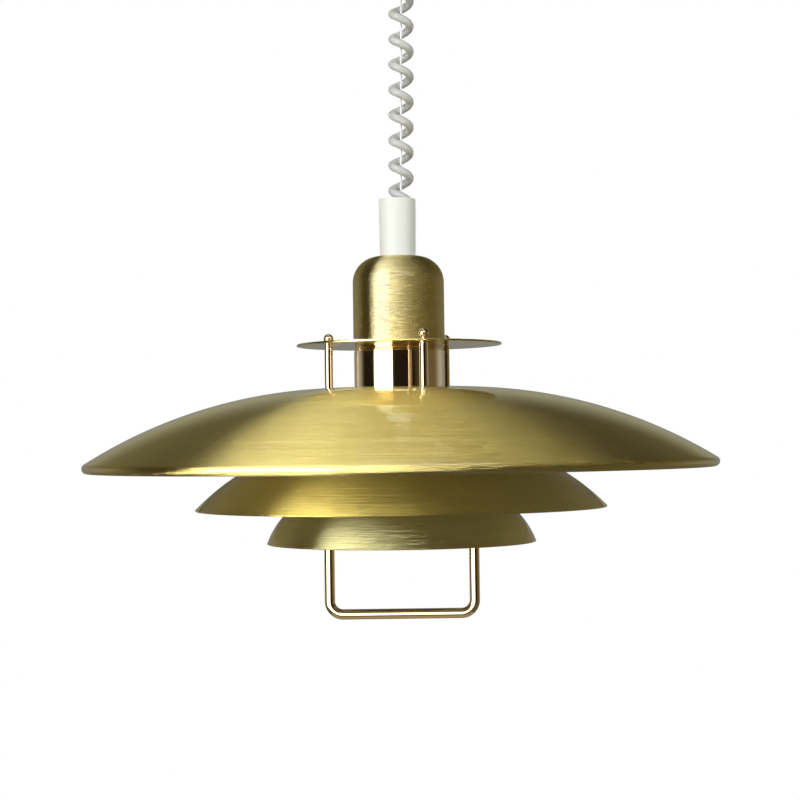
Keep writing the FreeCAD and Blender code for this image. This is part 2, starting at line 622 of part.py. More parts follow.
# Three tie rods at 120 degrees: thick between disc and shade, thin below.
rods = new_body("tie_rods")
padded(rods, "rod_pad", d["dome_top"], d["disc_low"], [(R3, 0, d["rod_r"])])
first = rods.Tip
padded(rods, "rod_stud", d["stud_low"], d["dome_top"], [(R3, 0, d["stud_r"])])
second = rods.Tip
bore = sketch_on(rods, "rod_tap_sketch", "XY_Plane", lift=d["disc_low"])
bore.addGeometry(Part.Circle(V(R3.v, 0, 0), V(0, 0, 1), 1.5), False)
pin_point(bore, 0, 3, R3, 0)
bore.addConstraint(Sketcher.Constraint("Radius", 0, 1.5))
tap = rods.newObject("PartDesign::Pocket", "rod_tap")
tap.Profile = bore
tap.Length = 10
doc.recompute()
ring_of_three(rods, [first, second, tap], "rod_ring")
on_lamp(rods, D["rod_angle"].v)
node(rods, "tie_rods")

balls = new_body("ball_nuts")
sk = sketch_on(balls, "ball_section", "XZ_Plane")
br, bz, dt = d["ball_r"], d["ball_z"], d["disc_top"]
join = root(br * br - 1.7 * 1.7)
outline(sk, [(R3, 50.0), (R3 + 1.45, 50.0), (R3 + 1.45, dt), (R3 + 2.3, dt), (R3 + 2.3, dt + 0.6), (R3 + 1.7, dt + 0.9), (R3 + 1.7, bz - join), (R3, bz + br)],
        {6: (br, 1)})
rev = balls.newObject("PartDesign::Revolution", "ball_turn")
rev.Profile = sk
rev.ReferenceAxis = (sk, ["Edge8"])
rev.Angle = 360
doc.recompute()
ring_of_three(balls, rev, "ball_ring")
on_lamp(balls, D["rod_angle"].v)
node(balls, "ball_nuts")

# Main shade: flat middle, long arc, rolled rim.
R, f, t0, rim, b, t = d["dome_arc"], d["dome_flat"], d["dome_top"], d["dome_rim"], d["dome_bead"], d["dome_wall"]
oz = t0 - R
bead_r = rim - b
bead_h = root((R - b) * (R - b) - (bead_r - f) * (bead_r - f))
ux, uz = (bead_r - f) / (R - b), bead_h / (R - b)
p1 = (f + R * ux, oz + R * uz)
along = ((R - b) * (R - b) + (R - t) * (R - t) - b * b) / (2 * (R - b))
off = root((R - t) * (R - t) - along * along)
p2 = (f + along * ux - off * uz, oz + along * uz + off * ux)
dome = turned("main_shade", [(d["dome_hole"], t0), (d["dome_hole"], t0 - t), (f, t0 - t), p2, p1, (f, t0)],
              {2: (R - t, -1), 3: (b, 1, True), 4: (R, 1)})
hole = drilled(dome, "dome_hole_first", [(R3, 0, 2.1)])
ring_of_three(dome, hole, "dome_holes")
on_lamp(dome, D["rod_angle"].v)
node(dome, "main_shade")


# The two shades inside it: a flat middle, then one arc down to a plain edge.
def leaf_shade(label, top, mid, arc, flat, rim, hole_r):
    t = d["leaf"]
    x = flat - mid
    zf = top - arc + root(arc * arc - x * x)
    low = zf - t + arc - top
    xin = root((arc - t) * (arc - t) - low * low)
    xr = rim - mid
    zr = root(arc * arc - xr * xr)
    s = (arc - t) / arc
    body = turned(label, [(hole_r, zf), (hole_r, zf - t), (mid + xin, zf - t), (mid + xr * s, top - arc + zr * s), (rim, top - arc + zr), (flat, zf)],
                  {2: (arc - t, -1), 4: (arc, 1)})
    return body, zf


angle = d["rod_angle"]
rod_holes = [(R3 * cosd(angle + 120 * k), R3 * sind(angle + 120 * k), 2.1) for k in range(3)]
second_shade, z2 = leaf_shade("second_shade", d["two_top"], d["two_mid"], d["two_arc"], d["two_flat"], d["two_rim"], d["two_hole"])
drilled(second_shade, "second_holes", rod_holes)
on_lamp(second_shade)
node(second_shade, "second_shade")
third_shade, z3 = leaf_shade("third_shade", d["three_top"], d["three_mid"], d["three_arc"], d["three_flat"], d["three_rim"], d["three_hole"])
drilled(third_shade, "third_holes", rod_holes + [(d["handle_x"], 0, 2.1), (-d["handle_x"], 0, 2.1)])
on_lamp(third_shade)
node(third_shade, "third_shade")
print("middle of second shade at %.2f, of third at %.2f above the lamp datum" % (z2.v, z3.v))

# Spacer tubes, washers and nuts on the studs.
up = new_body("upper_spacers")
ring_of_three(up, padded(up, "upper_pad", z2, d["dome_top"] - d["dome_wall"] - 0.25, [(R3, 0, 4.0), (R3, 0, 2.1)]), "upper_ring")
lo = new_body("lower_spacers")
ring_of_three(lo, padded(lo, "lower_pad", z3, z2 - d["leaf"], [(R3, 0, 4.0), (R3, 0, 2.1)]), "lower_ring")
wa = new_body("tie_washers")
ring_of_three(wa, padded(wa, "washer_pad", z3 - d["leaf"] - 0.8, z3 - d["leaf"], [(R3, 0, 4.4), (R3, 0, 2.1)]), "washer_ring")
tn = new_body("tie_nuts")
ring_of_three(tn, padded(tn, "tie_nut_pad", z3 - d["leaf"] - 4.0, z3 - d["leaf"] - 0.8, [(R3, 0, d["stud_r"])], hexagon(R3, 0, 7.0)), "tie_nut_ring")
for body, label in ((up, "upper_spacers"), (lo, "lower_spacers"), (wa, "tie_washers"), (tn, "tie_nuts")):
    on_lamp(body, D["rod_angle"].v)
    node(body, label)

# Square bail handle of round bar, studded at both ends and nutted through the
# middle of the third shade.
X, HR, LOW, Q = d["handle_x"], d["handle_r"], d["handle_low"], d["handle_round"]
top = z3 - d["leaf"]
handle = new_body("pull_handle")
path = sketch_on(handle, "handle_path", "XZ_Plane")
path.addGeometry(Part.LineSegment(V(-X.v, top.v, 0), V(-X.v, LOW.v + Q.v, 0)), False)
path.addGeometry(Part.ArcOfCircle(Part.Circle(V(-X.v + Q.v, LOW.v + Q.v, 0), V(0, 0, 1), Q.v), math.pi, 1.5 * math.pi), False)
path.addGeometry(Part.LineSegment(V(-X.v + Q.v, LOW.v, 0), V(X.v - Q.v, LOW.v, 0)), False)
path.addGeometry(Part.ArcOfCircle(Part.Circle(V(X.v - Q.v, LOW.v + Q.v, 0), V(0, 0, 1), Q.v), 1.5 * math.pi, 2 * math.pi), False)
path.addGeometry(Part.LineSegment(V(X.v, LOW.v + Q.v, 0), V(X.v, top.v, 0)), False)
C = Sketcher.Constraint
for a in [(0, 2, 1, 1), (1, 2, 2, 1), (2, 2, 3, 1), (3, 2, 4, 1)]:
    path.addConstraint(C("Tangent", *a))
pin_point(path, 0, 1, -X, top)
pin_point(path, 4, 2, X, top)
path.addConstraint(C("Vertical", 0))
path.addConstraint(C("Vertical", 4))
path.addConstraint(C("Horizontal", 2))
k = path.addConstraint(C("DistanceY", -1, 1, 2, 1, LOW.v))
path.setExpression("Constraints[%d]" % k, LOW.t)
for g in (1, 3):
    k = path.addConstraint(C("Radius", g, Q.v))
    path.setExpression("Constraints[%d]" % k, Q.t)
section = sketch_on(handle, "handle_section", "XY_Plane", lift=top)
section.addGeometry(Part.Circle(V(-X.v, 0, 0), V(0, 0, 1), HR.v), False)
pin_point(section, 0, 3, -X, 0)
k = section.addConstraint(C("Radius", 0, HR.v))
section.setExpression("Constraints[%d]" % k, HR.t)
sweep = handle.newObject("PartDesign::AdditivePipe", "handle_bar")
sweep.Profile = section
sweep.Spine = path
doc.recompute()
padded(handle, "handle_studs", top, top + 7.5, [(-X, 0, d["stud_r"]), (X, 0, d["stud_r"])])
on_lamp(handle)
node(handle, "pull_handle")
hn = new_body("handle_nuts")
padded(hn, "handle_nut_left", z3, z3 + 3.2, [(-X, 0, d["stud_r"])], hexagon(-X, 0, 7.0))
padded(hn, "handle_nut_right", z3, z3 + 3.2, [(X, 0, d["stud_r"])], hexagon(X, 0, 7.0))
on_lamp(hn)
node(hn, "handle_nuts")

# ----------------------------------------------------------------------- write
doc.recompute()
bad = []
for obj in doc.Objects:
    if any(s in ("Invalid", "Error") for s in obj.State):
        bad.append("%s %s" % (obj.Name, obj.State))
for obj in NODES:
    shape = obj.Shape
    if shape.isNull() or not shape.isValid() or shape.Volume <= 0:
        bad.append("%s has no valid solid" % obj.Label)
if bad:
    raise RuntimeError("; ".join(bad))
labels = [obj.Label for obj in NODES]
if len(set(labels)) != len(labels):
    raise RuntimeError("labels repeat")
for obj in NODES:
    box = obj.Shape.BoundBox
    print("%-18s %2d solid(s) %10.1f mm3  x %.1f..%.1f  y %.1f..%.1f  z %.1f..%.1f" % (
        obj.Label, len(obj.Shape.Solids), obj.Shape.Volume, box.XMin, box.XMax, box.YMin, box.YMax, box.ZMin, box.ZMax))
    obj.Shape.exportStep("parts/%s.step" % obj.Label)
print("%d nodes written" % len(NODES))
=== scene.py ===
import bpy
import json
import math
from mathutils import Matrix, Vector

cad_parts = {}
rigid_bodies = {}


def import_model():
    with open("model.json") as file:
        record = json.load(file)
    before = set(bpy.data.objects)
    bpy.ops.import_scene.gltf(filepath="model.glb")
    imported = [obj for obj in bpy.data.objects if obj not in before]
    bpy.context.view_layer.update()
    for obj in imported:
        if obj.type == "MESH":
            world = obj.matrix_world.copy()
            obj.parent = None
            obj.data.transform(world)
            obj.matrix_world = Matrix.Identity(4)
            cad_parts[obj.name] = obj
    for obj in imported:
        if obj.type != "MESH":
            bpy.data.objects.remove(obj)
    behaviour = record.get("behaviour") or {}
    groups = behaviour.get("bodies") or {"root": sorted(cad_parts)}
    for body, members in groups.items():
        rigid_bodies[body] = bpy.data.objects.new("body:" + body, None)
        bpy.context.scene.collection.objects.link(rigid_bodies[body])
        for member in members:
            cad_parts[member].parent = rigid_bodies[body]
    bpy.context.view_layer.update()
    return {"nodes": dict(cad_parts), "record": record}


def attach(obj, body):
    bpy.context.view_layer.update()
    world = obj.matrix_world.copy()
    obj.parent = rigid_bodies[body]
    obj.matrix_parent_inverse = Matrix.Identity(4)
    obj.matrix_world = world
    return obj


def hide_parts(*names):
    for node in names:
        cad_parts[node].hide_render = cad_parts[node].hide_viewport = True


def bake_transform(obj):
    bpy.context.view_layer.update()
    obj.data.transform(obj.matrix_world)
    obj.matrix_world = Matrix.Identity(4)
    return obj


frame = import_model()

MM = 0.001

# The lamp's own axes: its datum hangs 380 mm under the ceiling, and the lamp
# leans 0.75 degrees because the wire holds it a little off its middle.
LAMP = Matrix.Translation((-0.4 * MM, 0, -380 * MM)) @ Matrix.Rotation(math.radians(-0.75), 4, "Y")
CEILING = Matrix.Identity(4)


# ------------------------------------------------------------------ materials
class Mat:
    """A small helper that builds one procedural material."""

    def __init__(self, name):
        self.mat = bpy.data.materials.new(name)
        self.mat.use_nodes = True
        self.nt = self.mat.node_tree
        self.nt.nodes.clear()
        self.out = self.node("ShaderNodeOutputMaterial")
        self.bsdf = self.node("ShaderNodeBsdfPrincipled")
        self.link(self.bsdf, "BSDF", self.out, "Surface")

    def node(self, kind, **props):
        n = self.nt.nodes.new(kind)
        for k, v in props.items():
            setattr(n, k, v)
        return n

    def link(self, a, a_out, b, b_in):
        self.nt.links.new(a.outputs[a_out], b.inputs[b_in])

    def set(self, **values):
        for k, v in values.items():
            self.bsdf.inputs[k.replace("_", " ")].default_value = v
        return self

    def coords(self, scale=(1, 1, 1), kind="Object", location=(0, 0, 0)):
        tc = self.node("ShaderNodeTexCoord")
        mp = self.node("ShaderNodeMapping")
        mp.inputs["Scale"].default_value = scale
        mp.inputs["Location"].default_value = location
        self.link(tc, kind, mp, "Vector")
        return mp

    def noise(self, vec, scale, detail=4.0, rough=0.55, out="Vector"):
        n = self.node("ShaderNodeTexNoise")
        n.inputs["Scale"].default_value = scale
        n.inputs["Detail"].default_value = detail
        n.inputs["Roughness"].default_value = rough
        self.link(vec, out, n, "Vector")
        return n

    def ramp(self, src, src_out, stops):
        r = self.node("ShaderNodeValToRGB")
        while len(r.color_ramp.elements) < len(stops):
            r.color_ramp.elements.new(0.5)
        for e, (p, c) in zip(r.color_ramp.elements, stops):
            e.position = p
            e.color = (*c, 1.0) if len(c) == 3 else c
        self.link(src, src_out, r, "Fac")
        return r

    def bump(self, src, src_out, strength, distance):
        b = self.node("ShaderNodeBump")
        b.inputs["Strength"].default_value = strength
        b.inputs["Distance"].default_value = distance
        self.link(src, src_out, b, "Height")
        self.link(b, "Normal", self.bsdf, "Normal")
        return b


def radial_vector(m, streak):
    """Coordinates that vary with radius and height but hardly round the axis, so that noise makes lathe lines."""
    tc = m.node("ShaderNodeTexCoord")
    sep = m.node("ShaderNodeSeparateXYZ")
    m.link(tc, "Object", sep, "Vector")
    xx = m.node("ShaderNodeMath", operation="MULTIPLY")
    m.link(sep, "X", xx, 0)
    m.link(sep, "X", xx, 1)
    yy = m.node("ShaderNodeMath", operation="MULTIPLY_ADD")
    m.link(sep, "Y", yy, 0)
    m.link(sep, "Y", yy, 1)
    m.link(xx, "Value", yy, 2)
    r = m.node("ShaderNodeMath", operation="SQRT")
    m.link(yy, "Value", r, 0)
    ang = m.node("ShaderNodeMath", operation="ARCTAN2")
    m.link(sep, "Y", ang, 0)
    m.link(sep, "X", ang, 1)
    slow = m.node("ShaderNodeMath", operation="SINE")
    m.link(ang, "Value", slow, 0)
    small = m.node("ShaderNodeMath", operation="MULTIPLY")
    m.link(slow, "Value", small, 0)
    small.inputs[1].default_value = streak
    com = m.node("ShaderNodeCombineXYZ")
    m.link(r, "Value", com, "X")
    m.link(small, "Value", com, "Y")
    m.link(sep, "Z", com, "Z")
    return com


def satin_brass(name, base, rough=0.30, aniso=1.0, streak=0.003, coat=1.0, groove=0.0004):
    m = Mat(name).set(Metallic=1.0, Roughness=rough, Anisotropic=aniso, Anisotropic_Rotation=0.25,
                      Coat_Weight=coat, Coat_Roughness=0.04, Coat_IOR=1.6, Specular_Tint=(0.92, 0.82, 0.50, 1.0))
    tan = m.node("ShaderNodeTangent", direction_type="RADIAL", axis="Z")
    m.link(tan, "Tangent", m.bsdf, "Tangent")
    vec = radial_vector(m, streak)
    lines = m.noise(vec, 2600.0, 3.0, 0.7)
    broad = m.noise(vec, 240.0, 2.0, 0.5)
    mix = m.node("ShaderNodeMath", operation="MULTIPLY_ADD")
    m.link(lines, "Fac", mix, 0)
    mix.inputs[1].default_value = 0.7
    half = m.node("ShaderNodeMath", operation="MULTIPLY")
    m.link(broad, "Fac", half, 0)
    half.inputs[1].default_value = 0.3
    m.link(half, "Value", mix, 2)
    dark = tuple(c * 0.90 for c in base)
    light = tuple(min(1.0, c * 1.06) for c in base)
    col = m.ramp(mix, "Value", [(0.30, dark), (0.70, light)])
    m.link(col, "Color", m.bsdf, "Base Color")
    rr = m.node("ShaderNodeMapRange")
    rr.inputs["To Min"].default_value = rough - 0.05
    rr.inputs["To Max"].default_value = rough + 0.06
    m.link(mix, "Value", rr, "Value")
    m.link(rr, "Result", m.bsdf, "Roughness")
    m.bump(lines, "Fac", 1.0, groove)
    return m.mat


def polished_brass(name, base, rough=0.05):
    m = Mat(name).set(Metallic=1.0, Roughness=rough)
    vec = m.coords()
    smear = m.noise(vec, 60.0, 3.0, 0.5)
    col = m.ramp(smear, "Fac", [(0.35, tuple(c * 0.96 for c in base)), (0.65, base)])
    m.link(col, "Color", m.bsdf, "Base Color")
    rr = m.node("ShaderNodeMapRange")
    rr.inputs["To Min"].default_value = rough
    rr.inputs["To Max"].default_value = rough + 0.05
    m.link(smear, "Fac", rr, "Value")
    m.link(rr, "Result", m.bsdf, "Roughness")
    return m.mat


def enamel(name, base):
    m = Mat(name).set(Roughness=0.38, Coat_Weight=0.25, Coat_Roughness=0.2)
    vec = m.coords()
    tone = m.noise(vec, 14.0, 3.0, 0.5)
    col = m.ramp(tone, "Fac", [(0.3, tuple(c * 0.975 for c in base)), (0.7, base)])
    m.link(col, "Color", m.bsdf, "Base Color")
    peel = m.noise(vec, 900.0, 2.0, 0.5)
    m.bump(peel, "Fac", 0.06, 0.0003)
    return m.mat


def plastic(name, base, rough=0.35, grain=1800.0, strength=0.08, subsurface=0.0):
    m = Mat(name).set(Roughness=rough)
    if subsurface:
        m.set(Subsurface_Weight=subsurface, Subsurface_Scale=0.002)
    vec = m.coords()
    tone = m.noise(vec, 30.0, 3.0, 0.5)
    col = m.ramp(tone, "Fac", [(0.3, tuple(c * 0.97 for c in base)), (0.7, base)])
    m.link(col, "Color", m.bsdf, "Base Color")
    fine = m.noise(vec, grain, 2.0, 0.6)
    m.bump(fine, "Fac", strength, 0.0002)
    return m.mat


def steel(name, base, rough=0.3, grain=900.0):
    m = Mat(name).set(Metallic=1.0, Roughness=rough)
    vec = m.coords()
    fine = m.noise(vec, grain, 4.0, 0.6)
    col = m.ramp(fine, "Fac", [(0.3, tuple(c * 0.88 for c in base)), (0.7, base)])
    m.link(col, "Color", m.bsdf, "Base Color")
    rr = m.node("ShaderNodeMapRange")
    rr.inputs["To Min"].default_value = rough - 0.06
    rr.inputs["To Max"].default_value = rough + 0.1
    m.link(fine, "Fac", rr, "Value")
    m.link(rr, "Result", m.bsdf, "Roughness")
    m.bump(fine, "Fac", 0.08, 0.0001)
    return m.mat


BRASS = (0.84, 0.685, 0.22)
M_SATIN = satin_brass("satin_brass", BRASS)
# The cup gets a copy of the satin brass whose base colour is paler and less yellow than the shades' brass. That
# difference is a painted highlight, so the cup's lit band comes out whiter. Its shorter brush streaks, rougher finish
# and thinner coat are the cup's own spun finish.
M_CUP = satin_brass("satin_brass_cup", (0.84, 0.70, 0.28), rough=0.33, streak=0.0012, coat=0.5)
M_POLISH = polished_brass("polished_brass", (0.91, 0.70, 0.40))
M_ROD = polished_brass("polished_brass_rods", (0.92, 0.76, 0.54))
M_ENAMEL = enamel("white_enamel", (0.80, 0.80, 0.75))
M_WHITE = plastic("white_plastic", (0.86, 0.86, 0.83), 0.42, subsurface=0.15)
M_GREYP = plastic("grey_plastic", (0.58, 0.58, 0.56), 0.5)
M_TERM = plastic("terminal_plastic", (0.80, 0.79, 0.74), 0.45)
M_CORD = plastic("cord_sheath", (0.62, 0.62, 0.615), 0.38, grain=2600.0, strength=0.05)
M_ZINC = steel("zinc_steel", (0.66, 0.67, 0.69), 0.32)
M_SPRING = steel("spring_steel", (0.22, 0.24, 0.30), 0.35)
M_WIRE = steel("steel_wire", (0.80, 0.80, 0.80), 0.35, grain=3000.0)
M_HOLDER = plastic("holder_plastic", (0.84, 0.83, 0.79), 0.4)
M_CONTACT = steel("contact_brass", (0.84, 0.66, 0.32), 0.25)

SLOT_MATS = {
    "satin_brass": M_SATIN, "polished_brass": M_POLISH, "white_plastic": M_WHITE, "grey_plastic": M_GREYP,
    "terminal_plastic": M_TERM, "cord_sheath": M_CORD, "zinc_steel": M_ZINC, "spring_steel": M_SPRING,
    "steel_wire": M_WIRE, "holder_plastic": M_HOLDER, "contact_brass": M_CONTACT,
}
for sub in frame["record"]["subparts"]:
    obj = frame["nodes"][sub["node"]]
    mat = SLOT_MATS[sub["material_slot"]]
    if not obj.material_slots:
        obj.data.materials.append(mat)
    for s in obj.material_slots:
        s.material = mat


# ----------------------------------------------------------------- mesh tools
def mesh_object(name, verts, faces, mats, face_mats=None, matrix=None, sharp=35.0):
    me = bpy.data.meshes.new(name)
    me.from_pydata(verts, [], faces)
    for m in mats:
        me.materials.append(m)
    if face_mats:
        me.polygons.foreach_set("material_index", face_mats)
    me.polygons.foreach_set("use_smooth", [True] * len(me.polygons))
    me.set_sharp_from_angle(angle=math.radians(sharp))
    me.update()
    ob = bpy.data.objects.new(name, me)
    bpy.context.scene.collection.objects.link(ob)
    if matrix is not None:
        ob.matrix_world = matrix
    return ob


def arc(cx, cz, r, a0, a1, n):
    """Points on an arc in the (radius, height) plane, angles in degrees."""
    return [(cx + r * math.cos(math.radians(a0 + (a1 - a0) * i / n)), cz + r * math.sin(math.radians(a0 + (a1 - a0) * i / n)))
            for i in range(n + 1)]


def supported(profile, side):
    """Adds a point just inside each end of a long straight run that ends in a corner, so smooth shading stays flat
    along the run."""
    n = len(profile)
    out, out_side = [], []

    def turn(i):
        a, b, c = profile[i - 1], profile[i], profile[(i + 1) % n]
        h1 = math.atan2(b[1] - a[1], b[0] - a[0])
        h2 = math.atan2(c[1] - b[1], c[0] - b[0])
        d = abs((h2 - h1 + math.pi) % (2 * math.pi) - math.pi)
        return math.degrees(d)

    for i in range(n):
        a, b = profile[i], profile[(i + 1) % n]
        num = side[i] if side else 0
        length = math.dist(a, b)
        out.append(a)
        out_side.append(num)
        if length > 0.9:
            k = 0.12 / length
            for t, end in ((k, i), (1 - k, (i + 1) % n)):
                if turn(end) > 6:
                    out.append((a[0] + (b[0] - a[0]) * t, a[1] + (b[1] - a[1]) * t))
                    out_side.append(num)
    return out, out_side


def lathe(name, profile, mats, side=None, matrix=LAMP, segments=192, sharp=35.0, spin=0.0, centre=(0.0, 0.0)):
    """A closed half section in mm, counter-clockwise, turned round the local Z axis. side gives each profile
    segment's material number."""
    profile, side = supported(profile, side)
    n = len(profile)
    verts, faces, fm = [], [], []
    on_axis = [abs(r) < 1e-6 for r, z in profile]
    index = []
    for i, (r, z) in enumerate(profile):
        if on_axis[i]:
            index.append([len(verts)] * segments)
            verts.append((centre[0] * MM, centre[1] * MM, z * MM))
        else:
            row = []
            for k in range(segments):
                a = 2 * math.pi * k / segments + spin
                row.append(len(verts))
                verts.append(((centre[0] + r * math.cos(a)) * MM, (centre[1] + r * math.sin(a)) * MM, z * MM))
            index.append(row)
    for i in range(n):
        j = (i + 1) % n
        if on_axis[i] and on_axis[j]:
            continue
        for k in range(segments):
            q = (k + 1) % segments
            loop = [index[i][k], index[i][q], index[j][q], index[j][k]]
            clean = []
            for v in loop:
                if v not in clean:
                    clean.append(v)
            faces.append(clean)
            fm.append(side[i] if side else 0)
    return mesh_object(name, verts, faces, mats, fm, matrix, sharp)


def tube_mesh(name, line, radius, mats, sides=20, matrix=None, close=True):
    """A round tube along points in metres, with frames carried along the line."""
    pts = [Vector(p) for p in line]
    tangents = []
    for i in range(len(pts)):
        a, b = pts[max(i - 1, 0)], pts[min(i + 1, len(pts) - 1)]
        tangents.append((b - a).normalized())
    ref = Vector((0, 1, 0)) if abs(tangents[0].y) < 0.9 else Vector((1, 0, 0))
    u = (ref - tangents[0] * ref.dot(tangents[0])).normalized()
    verts, faces = [], []
    for i, (p, t) in enumerate(zip(pts, tangents)):
        u = (u - t * u.dot(t)).normalized()
        v = t.cross(u)
        for k in range(sides):
            a = 2 * math.pi * k / sides
            verts.append(p + (u * math.cos(a) + v * math.sin(a)) * radius)
    for i in range(len(pts) - 1):
        for k in range(sides):
            q = (k + 1) % sides
            faces.append([i * sides + k, i * sides + q, (i + 1) * sides + q, (i + 1) * sides + k])
    if close:
        faces.append(list(range(sides))[::-1])
        faces.append([(len(pts) - 1) * sides + k for k in range(sides)])
    return mesh_object(name, verts, faces, mats, None, matrix, 50.0)


def spline_line(name, route, resolution=8):
    """Points read from a NURBS spline of order 3 through a route's control points, in metres."""
    cu = bpy.data.curves.new(name, "CURVE")
    cu.dimensions = "3D"
    cu.resolution_u = resolution
    sp = cu.splines.new("NURBS")
    sp.points.add(len(route) - 1)
    for p, c in zip(sp.points, route):
        p.co = (c[0], c[1], c[2], 1.0)
    sp.order_u = 3
    sp.use_endpoint_u = True
    ob = bpy.data.objects.new(name, cu)
    me = bpy.data.meshes.new_from_object(ob)
    line = [tuple(v.co) for v in me.vertices]
    bpy.data.objects.remove(ob)
    bpy.data.curves.remove(cu)
    bpy.data.meshes.remove(me)
    return line


# ------------------------------------------------------------------ main shade
TOP, WALL, FLAT, ARC, RIM, BEAD = 32.3, 1.2, 38.3, 292.0, 195.0, 3.1
oz = TOP - ARC
bead_r = RIM - BEAD
bead_z = oz + math.sqrt((ARC - BEAD) ** 2 - (bead_r - FLAT) ** 2)
phi = math.degrees(math.asin((bead_r - FLAT) / (ARC - BEAD)))
inner = [(r, z) for r, z in arc(FLAT, oz, ARC - WALL, 90, 90 - phi + 0.45, 72)]
bead = arc(bead_r, bead_z, BEAD, 90 - phi - 215, 90 - phi, 30)
outer = arc(FLAT, oz, ARC, 90 - phi, 90, 72)
profile = [(25.0, TOP), (25.0, TOP - WALL)] + inner + bead + outer[1:]
main = lathe("main_shade_spun", profile, [M_SATIN], None, segments=288, sharp=60)
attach(main, "lamp")
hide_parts("main_shade")


def coat_of_enamel(name, start, top, cx, cz, r, a0, a1, n=60):
    """A skin of white enamel on the underside of a spun shade, its upper face just inside the brass."""
    skin = [(start, top - 0.15)] + arc(cx, cz, r - 0.15, a0, a1, n) + arc(cx, cz, r + 0.05, a1, a0, n) + [(start, top + 0.05)]
    ob = lathe(name, skin, [M_ENAMEL], None, segments=256, sharp=30)
    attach(ob, "lamp")
    return ob


coat_of_enamel("main_shade_enamel", 25.3, TOP - WALL, FLAT, oz, ARC - WALL, 90, 90 - phi + 0.6, 72)


def leaf(name, node, top, mid, R, flat, rim, hole, t=1.0):
    x = flat - mid
    zf = top - R + math.sqrt(R * R - x * x)
    low = zf - t + R - top
    xin = math.sqrt((R - t) ** 2 - low * low)
    a_out0 = math.degrees(math.atan2(zf - (top - R), x))
    a_out1 = math.degrees(math.acos((rim - mid) / R))
    a_in0 = math.degrees(math.atan2(low, xin))
    inner = arc(mid, top - R, R - t, a_in0, a_out1, 48)
    outer = arc(mid, top - R, R, a_out1, a_out0, 48)
    # the edge is trimmed square and just broken on both corners
    ux, uz = math.cos(math.radians(a_out1)), math.sin(math.radians(a_out1))
    tx, tz = uz, -ux
    def off(p, along, out):
        return (p[0] + tx * along + ux * out, p[1] + tz * along + uz * out)
    i1, o0 = inner[-1], outer[0]
    inner[-1] = off(i1, -0.18, 0)
    outer[0] = off(o0, -0.18, 0)
    edge = [off(i1, 0, 0.18), off(o0, 0, -0.18)]
    prof = [(hole, zf), (hole, zf - t)] + inner + edge + outer
    ob = lathe(name, prof, [M_SATIN], None, segments=256, sharp=30)
    coat_of_enamel(node + "_enamel", hole + 0.3, zf - t, mid, top - R, R - t, a_in0, a_out1 + 0.25)
    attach(ob, "lamp")
    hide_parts(node)
    return ob


second = leaf("second_shade_spun", "second_shade", 1.1, 26.3, 140.0, 55.4, 127.0, 34.0)
third = leaf("third_shade_spun", "third_shade", -29.8, 36.0, 50.0, 53.1, 83.1, 33.0)

# ------------------------------------------------- disc, ring, neck, cup, sleeve
disc_prof = [(20.2, 59.6), (20.2, 58.4), (63.15, 58.4), (63.38, 58.5), (63.45, 58.7), (63.45, 59.3), (63.38, 59.5), (63.15, 59.6)]
disc = lathe("reflector_disc_spun", disc_prof, [M_SATIN], None, segments=192, sharp=50)
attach(disc, "lamp"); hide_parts("reflector_disc")

N0 = 54.7
ring_prof = [(25.5, N0), (27.75, N0), (27.95, N0 + 0.15), (27.95, N0 + 0.45)]
ring_prof += [(27.05, N0 + 1.1), (27.05, N0 + 1.35), (27.7, N0 + 1.7), (27.95, N0 + 1.9), (27.7, N0 + 2.1), (27.05, N0 + 2.4), (27.05, N0 + 2.65),
              (27.95, N0 + 3.25), (27.95, 58.25), (27.8, 58.4), (25.5, 58.4)]
ring = lathe("groove_ring_turned", ring_prof, [M_ROD], segments=160, sharp=25)
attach(ring, "lamp"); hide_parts("groove_ring")

neck_prof = [(26.95, 32.3), (27.75, 32.3), (27.95, 32.5), (27.95, 54.5), (27.75, 54.7), (26.95, 54.7)]
neck = lathe("neck_tube_polished", neck_prof, [M_ROD], segments=192, sharp=40)
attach(neck, "lamp"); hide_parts("neck_tube")

cup_prof = [(5.1, 112.9)] + arc(12.3, 97.7, 15.2, 90, 0, 24) + [(27.5, 59.6), (28.15, 59.6), (28.3, 59.75)] + arc(12.3, 97.7, 16.0, 0, 90, 24) + [(5.1, 113.7)]
cup = lathe("lamp_cup_spun", cup_prof, [M_CUP], segments=192, sharp=50)
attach(cup, "lamp"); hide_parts("lamp_cup")

sleeve_prof = [(10.0, 113.7), (10.95, 113.7), (11.15, 113.9), (11.53, 148.5), (11.45, 149.0), (11.25, 149.3), (10.85, 149.3), (10.7, 149.1)]
sleeve = lathe("cord_sleeve_moulded", sleeve_prof, [M_WHITE], segments=96, sharp=40)
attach(sleeve, "lamp"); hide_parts("cord_sleeve")

